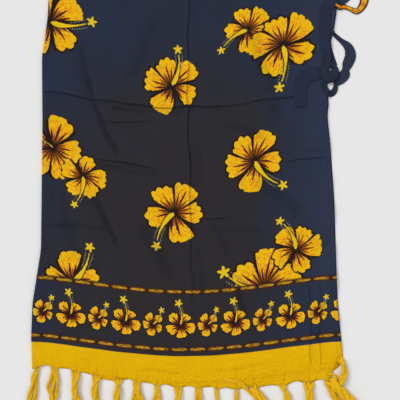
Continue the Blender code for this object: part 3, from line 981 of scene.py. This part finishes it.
def petals(tree, place, detail):
    """How far inside a petal, how much of a vein, how streaky, and the distance from the centre."""
    x, y, kind = parts_of(tree, place)
    border = in_border(kind)
    far = (x * x + y * y) ** 0.5
    angle = y.node("ARCTAN2", x)
    uneven = angle + kind * (2 * math.pi)
    unevenness = border * (BORDER_UNEVENNESS - GAP_UNEVENNESS) + GAP_UNEVENNESS
    spread = uneven.cosine() * unevenness + 1.0
    swirl = (far - 0.6) * (kind * 1.3 + 1.0).sine() * 0.25
    turn = (angle + uneven.sine() * unevenness + swirl) * (1 / SLICE) + 0.5
    whole = turn.node("FLOOR")
    petal = whole % PETALS
    f = turn - whole - 0.5 + (detail - 0.5) * 0.04
    size = (petal * 2.4 + kind * 3.7).sine() * 0.08 + 0.93
    r = far / size
    off = abs(f)
    fullness = kind.ramp(2.0, 3.5) * 0.015 + 0.445 - border * 0.035
    limit = spread * fullness - (r.most(0.05) ** -1.0) * 0.017 - r.ramp(0.5, 1.05) * 0.07
    limit = limit.least(FULLEST_PETAL)
    scallop = abs((f * 13.0 + petal * 1.3 + kind).cosine()) * (0.10 - border * 0.04)
    rounding = (off / limit.most(0.1)).least(1.3) ** 3.0 * 0.13
    waver = (f * 8.0 + petal * 2.9 + kind * 1.7).sine() * 0.04
    rim = 0.96 - rounding + scallop + waver
    side = (limit - off) * r * SLICE
    inside = (rim - r).least(side).least(r - (border * 0.09 + 0.10))
    streak = noise(tree, vector_of(tree, f * 9.0, r * 3.0, petal + kind), 2.2, 3.0, 0.6)
    return inside, veins(f, r, petal, kind, border), streak, r


def veins(f, r, petal, kind, border):
    """How much of a vein a place is on, from 0 to 1."""
    spot = f * VEINS
    nearest = spot.node("ROUND")
    beside = abs(spot - nearest)
    reach = 0.75 - abs(nearest) * 0.14 + (nearest * 5.1 + petal * 1.7 + kind).sine() * 0.1
    width = (reach - r).ramp(0.0, 0.3) * 0.024 + 0.010 + border * 0.012
    width = width * (r.ramp(0.0, 0.45) * 0.7 + 0.3)
    blur = border * 0.02 + 0.012
    long_vein = (beside * r * (SLICE / VEINS) - width).ramp(blur, -0.006) * (reach - r).ramp(0.0, 0.04)
    short_vein = (abs(beside - 0.5) * r * (SLICE / VEINS)).ramp(0.018, 0.004) * r.ramp(0.50, 0.40)
    return long_vein.most(short_vein)


def style_shapes(tree, place):
    """The style's own body, its outline, its dots and its star, each from 0 to 1."""
    x, y, kind = parts_of(tree, place)
    border = in_border(kind)
    t = x * 0.5 + 0.5
    aside = y - (1.0 - x * x) * STYLE_BOW
    half = t * 1.9 * (t * (-1 / STYLE_SWELLS_AT)).node("EXPONENT") + 0.010
    half = half * t.ramp(0.0, 0.06) * (1.0 - border * 0.35)
    off = abs(aside) - half
    within = t.ramp(0.0, 0.02) * t.ramp(0.88, 0.84)
    body = off.ramp(0.024, -0.012) * within
    outline = off.ramp(0.085, 0.03) * within * t.ramp(0.75, 0.6)
    dot_t = (t % 0.06 - 0.03) * 2.0
    dot_y = abs(aside) - (t - 0.45) * 0.12 - 0.14
    dots = ((dot_t * dot_t + dot_y * dot_y) ** 0.5).ramp(0.05, 0.02)
    dots = dots * t.ramp(0.42, 0.5) * t.ramp(0.9, 0.84)
    star_x = x - 1.0
    star_far = (star_x * star_x + y * y) ** 0.5 / (border * 0.45 + 0.92)
    star_angle = y.node("ARCTAN2", star_x)
    star_edge = (star_angle * PETALS + kind).cosine() * 0.08 + 0.19
    star = (star_far - star_edge).ramp(0.03, -0.02)
    return body, outline, dots, star


def flowers_laid(tree, ground, places, above_chain, patch, fine):
    """Flowers printed over a ground colour. Those outside the border end at the upper chain."""
    petal_place, style_place = places
    inside, vein, streak, r = petals(tree, petal_place, patch)
    body, outline, dots, star = style_shapes(tree, style_place)
    petal_shown = in_border(parts_of(tree, petal_place)[2]).most(above_chain)
    style_shown = in_border(parts_of(tree, style_place)[2]).most(above_chain)
    ground = mixed(tree, inside.ramp(-0.11, -0.05) * petal_shown, ground, OUTLINE)
    gold = mixed(tree, (patch * 0.5 + streak * 0.5).ramp(0.47, 0.55) * 0.9, PETAL_YELLOW, PETAL_ORANGE)
    gold = mixed(tree, (r + (fine - 0.5) * 0.6).ramp(0.7, 1.0) * 0.8, gold, PETAL_YELLOW)
    gold = mixed(tree, fine.ramp(0.35, 0.65) * 0.3, gold, PETAL_GOLD)
    gold = mixed(tree, r.ramp(0.55, 0.3) * 0.6, gold, PETAL_ORANGE)
    gold = mixed(tree, vein, gold, mixed(tree, r.ramp(0.12, 0.35), OUTLINE, MAROON))
    colour = mixed(tree, inside.ramp(-0.01, 0.014) * petal_shown, ground, gold)
    colour = mixed(tree, dots * style_shown, colour, STAMEN_PALE)
    colour = mixed(tree, outline * style_shown, colour, OUTLINE)
    pale = mixed(tree, fine.ramp(0.3, 0.5), PETAL_GOLD, STYLE_YELLOW)
    return mixed(tree, body.most(star) * style_shown, colour, pale)


def crease_lines(tree, place):
    """The fine grooves of the pressed creases, from 0 to 1. The printed cloth takes them as bump and
    as painted shade along each pressed crease.
    """
    deepest = 0.0
    for number, (x0, y0, x1, y1, _, height, kind) in enumerate(CREASES):
        if kind == "pressed":
            half_length = math.hypot(x1 - x0, y1 - y0) / 2 * MM
            turn = math.atan2(y1 - y0, x1 - x0)
            local = local_place(tree, place, x0 * MM, y0 * MM, 1, 1, turn, 0)
            run, aside, _ = parts_of(tree, local)
            aside = abs(aside - (run / WANDER_LENGTH + number).sine() * CREASE_WANDER)
            end = CREASE_TAPER / 2
            taper = abs(run - half_length).ramp(half_length + end, half_length - end)
            line = aside.ramp(CREASE_LINE, 0.0) * taper * min(1.0, height / DARKEST_LINE)
            deepest = line.most(deepest)
    return deepest


def cloth_ground(tree, x, y, slow):
    """Black in the middle, with painted sheen that makes it bluer towards the sides and the waist and
    palest at the right; slow noise also varies the blue at random.
    """
    sides = (abs(x) / 0.28) ** 2.0 * (x.ramp(0.0, 0.2) * 0.7 + 0.5)
    blue = (sides + y.ramp(0.0, 0.4) * 0.7 + (slow - 0.5) * 0.9).ramp(0.0, 0.95)
    ground = mixed(tree, blue, CLOTH_BLACK, CLOTH_BLUE_SHEEN_AND_TONE)
    return mixed(tree, x.ramp(0.15, 0.29) * y.ramp(-0.36, -0.1) * 0.55, ground, CLOTH_PALE_SHEEN)


def chains_laid(tree, colour, x, y, patch, fine):
    """The two bamboo chains printed over a colour."""
    middle = (CHAIN_Y[0] + CHAIN_Y[1]) / 2
    half_gap = (CHAIN_Y[0] - CHAIN_Y[1]) / 2
    from_chain = abs(abs(y - middle) - half_gap)
    shifted = x + y.node("GREATER_THAN", middle) * UPPER_CHAIN_SHIFT
    along = abs(shifted % CHAIN_PITCH - CHAIN_PITCH / 2)
    taper = along.ramp(CHAIN_LENGTH * 0.52, CHAIN_LENGTH * 0.30) * 0.45 + 0.55
    ragged = (fine - 0.5) * 3.0 * MM + (patch - 0.5) * 2.5 * MM
    link = (from_chain + ragged - taper * CHAIN_HEIGHT / 2).ramp(PRINT_BLUR, -PRINT_BLUR)
    link = link * along.ramp(CHAIN_LENGTH / 2 + 0.8 * MM, CHAIN_LENGTH / 2 - 0.6 * MM)
    core = (from_chain + ragged * 0.7 - taper * CHAIN_HEIGHT * 0.26).ramp(PRINT_BLUR, -PRINT_BLUR)
    strokes = noise(tree, vector_of(tree, x * 0.35, y * 1.6), STROKE_NOISE, 2.0, 0.6)
    chain = mixed(tree, core, CHAIN_RED, CHAIN_BROWN)
    chain = mixed(tree, core * strokes.ramp(0.43, 0.54), chain, CHAIN_GOLD)
    strip = (from_chain - CHAIN_HEIGHT * 0.75).ramp(1.5 * MM, -1.5 * MM)
    colour = mixed(tree, strip * 0.8, colour, CHAIN_GROUND)
    return mixed(tree, link, colour, chain)


def band_laid(tree, colour, x, y, hollow, patch, fine):
    """The yellow band over a colour, with painted shade browning its creases, browner near and along
    its rolled hem, and its share.
    """
    streaks = noise(tree, vector_of(tree, x * 6.0, y * 90.0), 3.0, 3.0, 0.6)
    yellow = mixed(tree, streaks.ramp(0.45, 0.75) * 0.15, BAND_YELLOW, BAND_STREAK)
    edge = y + (fine - 0.5) * 1.0 * MM
    in_band = edge.ramp(YELLOW_FROM + PRINT_BLUR, YELLOW_FROM - PRINT_BLUR)
    rolled = abs(y - ROLLED_LINE + (streaks - 0.5) * 0.012).ramp(0.005, 0.001)
    rolled = rolled * fine.ramp(0.35, 0.6)
    hem_side = y.ramp(-0.318, -0.352) * (fine + patch - 1.0).ramp(0.0, 0.22)
    hem_side = hem_side.most(rolled * 1.2)
    # Painted shade: browner in the creases' hollows; also browner towards the rolled hem.
    yellow = mixed(tree, hollow.ramp(0.05, 0.7) * 0.4 + hem_side * 0.3, yellow, BAND_SHADE_AND_HEM_BROWN)
    return mixed(tree, in_band, colour, yellow), in_band


def printed_cloth():
    """Black rayon with yellow flowers, two bamboo chains and a yellow border, printed unevenly."""
    look, tree, shader, mark = new_look("printed_black", 0.8)
    x, y, from_side = parts_of(tree, mark)
    flat = vector_of(tree, x, y)
    patch = noise(tree, flat, PATCH_NOISE, 3.0, 0.65)
    fine = noise(tree, flat, FINE_NOISE)
    drawn_x = x + (patch - 0.5) * PRINT_WAVER[0]
    drawn = vector_of(tree, drawn_x, y + (fine - 0.5) * PRINT_WAVER[1])
    above_chain = y.ramp(CHAIN_Y[0] + 3 * MM, CHAIN_Y[0] + 4.5 * MM)
    hollow = Number(tree, attribute(tree, HOLLOW)["Fac"])

    colour = cloth_ground(tree, x, y, noise(tree, flat, SLOW_NOISE))
    for flowers, with_border in ((FLOWERS, True), (FLOWERS_OVER, False)):
        places = flower_places(tree, drawn, flowers, with_border)
        colour = flowers_laid(tree, colour, places, above_chain, patch, fine)
    colour = chains_laid(tree, colour, x, y, patch, fine)
    colour, in_band = band_laid(tree, colour, x, y, hollow, patch, fine)

    lines = crease_lines(tree, flat)
    hem_line = abs(from_side - SIDE_HEM).ramp(1.0 * MM, 0.2 * MM)
    # Darkening: painted shade along the pressed creases' lines and in the creases' hollows, a darker
    # line by the side hem, and random tone.
    painted_crease_shade = hollow.ramp(0.0, 1.1) * (0.3 - in_band * 0.2)
    shade = lines * 0.55 + hem_line * 0.2 + painted_crease_shade + (fine - 0.5) * 0.4
    colour = mixed(tree, shade.least(0.7).most(0.0), colour, (0.0, 0.0, 0.0))
    tree.links.new(colour, shader.inputs["Base Color"])
    crinkle = abs(noise(tree, flat, CRINKLE_NOISE) - 0.5).ramp(0.0, 0.06)
    rumple = noise(tree, flat, RUMPLE_NOISE, 3.0)
    height = weave(x, y, THREAD) * 0.1 + patch * 0.15 + rumple * 1.6 + crinkle * 0.35
    height = height - lines * 1.5 - hem_line * 0.3
    bumped(tree, shader, height, 1.0 * MM)
    return look


def object_place(tree):
    return tree.nodes.new("ShaderNodeTexCoord").outputs["Object"]


def plain_black():
    """The black self cloth of the band and ties."""
    look, tree, shader, _ = new_look("tie_black", 0.8)
    place = object_place(tree)
    x, y, _ = parts_of(tree, place)
    slow = noise(tree, place, 60.0, 3.0)
    colour = mixed(tree, slow.ramp(0.35, 0.7), TIE_BLACK, CLOTH_BLUE_SHEEN_AND_TONE)
    # Painted sheen: paler towards the right side.
    colour = mixed(tree, x.ramp(0.272, 0.295) * 0.6, colour, CLOTH_PALE_SHEEN)
    tree.links.new(colour, shader.inputs["Base Color"])
    bumped(tree, shader, weave(x, y, THREAD) * 0.3 + slow * 1.6, 0.4 * MM)
    return look


def yellow_tie():
    """Border cloth: orange gold between dark printed edges."""
    look, tree, shader, mark = new_look("border_yellow", 0.72, sheen=0.1)
    across, run, _ = parts_of(tree, mark)
    grain = noise(tree, vector_of(tree, across * 0.012, run), 120.0, 3.0)
    gold = mixed(tree, grain.ramp(0.4, 0.62), PETAL_GOLD, PETAL_ORANGE)
    line = (abs(across - 0.12 + (run * 60).sine() * 0.1)).ramp(0.07, 0.02) * grain.ramp(0.35, 0.55)
    gold = mixed(tree, line, gold, MAROON)
    edge = (abs(across) + (grain - 0.5) * 0.2).ramp(0.26, 0.36)
    tree.links.new(mixed(tree, edge, gold, CHAIN_GROUND), shader.inputs["Base Color"])
    bumped(tree, shader, grain, 0.4 * MM)
    return look


def yarn_gold():
    """Twisted yarn: fine slanting threads, with painted shade making it browner in the grooves, and
    browner in random patches.
    """
    look, tree, shader, mark = new_look("fringe_gold", 0.62, sheen=0.2, sheen_tint=(1.0, 0.85, 0.5))
    c, s, run = parts_of(tree, mark)
    angle = s.node("ARCTAN2", c)
    threads = (angle * 5.0 + run * 1300.0).sine() * 0.5 + 0.5
    patch = noise(tree, vector_of(tree, angle * 0.002, run), 180.0, 3.0)
    mottle = noise(tree, object_place(tree), 150.0, 3.0)
    # Painted shade in the grooves between threads, and random patches.
    brown = (1.0 - threads).ramp(0.6, 1.0) * 0.35 + patch.ramp(0.58, 0.75) * 0.35
    colour = mixed(tree, brown.least(0.85), FRINGE_GOLD, FRINGE_BROWN_SHADE_AND_TONE)
    colour = mixed(tree, mottle.ramp(0.5, 0.7) * 0.3, colour, BAND_STREAK)
    tree.links.new(colour, shader.inputs["Base Color"])
    bumped(tree, shader, threads + patch * 0.5, 0.35 * MM)
    return look


def floor():
    bpy.ops.mesh.primitive_plane_add(size=FLOOR_SIZE, location=(0, 0, FLOOR_Z))
    ground = bpy.context.object
    ground.name = "floor"
    look, _, shader, _ = new_look("floor", 0.9, specular=0.1)
    shader.inputs["Base Color"].default_value = (*FLOOR_WHITE, 1.0)
    ground.data.materials.append(look)


def sun(name, direction, strength, softness):
    """A far light that comes from this direction, with soft shadows."""
    data = bpy.data.lights.new(name, "SUN")
    data.energy = strength
    data.angle = math.radians(softness)
    light = bpy.data.objects.new(name, data)
    light.rotation_euler = Vector(direction).to_track_quat("Z", "Y").to_euler()
    bpy.context.scene.collection.objects.link(light)


def studio():
    world = bpy.data.worlds.new("studio")
    world.use_nodes = True
    background = world.node_tree.nodes["Background"]
    background.inputs["Color"].default_value = (1.0, 1.0, 1.0, 1.0)
    background.inputs["Strength"].default_value = WORLD_STRENGTH
    bpy.context.scene.world = world
    bpy.context.scene.view_settings.view_transform = "Standard"
    for row in SUNS:
        sun(*row)


def camera():
    data = bpy.data.cameras.new("camera")
    data.lens = LENS
    data.sensor_width = SENSOR
    seen_from = bpy.data.objects.new("camera", data)
    seen_from.location = (*FRAME_CENTRE, FRAME_WIDTH * LENS / SENSOR)
    bpy.context.scene.collection.objects.link(seen_from)
    bpy.context.scene.camera = seen_from


def main():
    camera()
    studio()
    floor()
    black = plain_black()
    yarn = yarn_gold()
    cloth = skirt_cloth(printed_cloth())
    band = waistband(black)
    run = strap("tie_run", TIE_RUN, black, [cloth, band], 1.2 * MM, 0.5 * MM, 1)
    loop = strap("tie_loop", TIE_LOOP, black, [cloth], 1.8 * MM, 0.6 * MM, 2)
    bight = strap("tie_bight", TIE_BIGHT, black, [cloth], 1.5 * MM, 0.6 * MM, 3)
    tail = strap("tie_tail", TIE_TAIL, black, [cloth], 0.6 * MM, 0.35 * MM, 4)
    lump = knot(black, [cloth, run, loop, bight, tail])
    gold = yellow_tie()
    below = [cloth, band, run]
    yellow = strap("tie_yellow", TIE_YELLOW, gold, below, 1.4 * MM, 0.6 * MM, 5)
    tassels = fringe(yarn)

    # Each strap with its route, its flat width in millimetres and what is tied of it
    for piece, route, wide, on_it in (
        (run, TIE_RUN, 21, [lump]),
        (loop, TIE_LOOP, 15.5, []),
        (bight, TIE_BIGHT, 10.5, []),
        (tail, TIE_TAIL, 25, []),
        (yellow, TIE_YELLOW, 12, []),
    ):
        size = (route_length(route), wide * MM)


main()
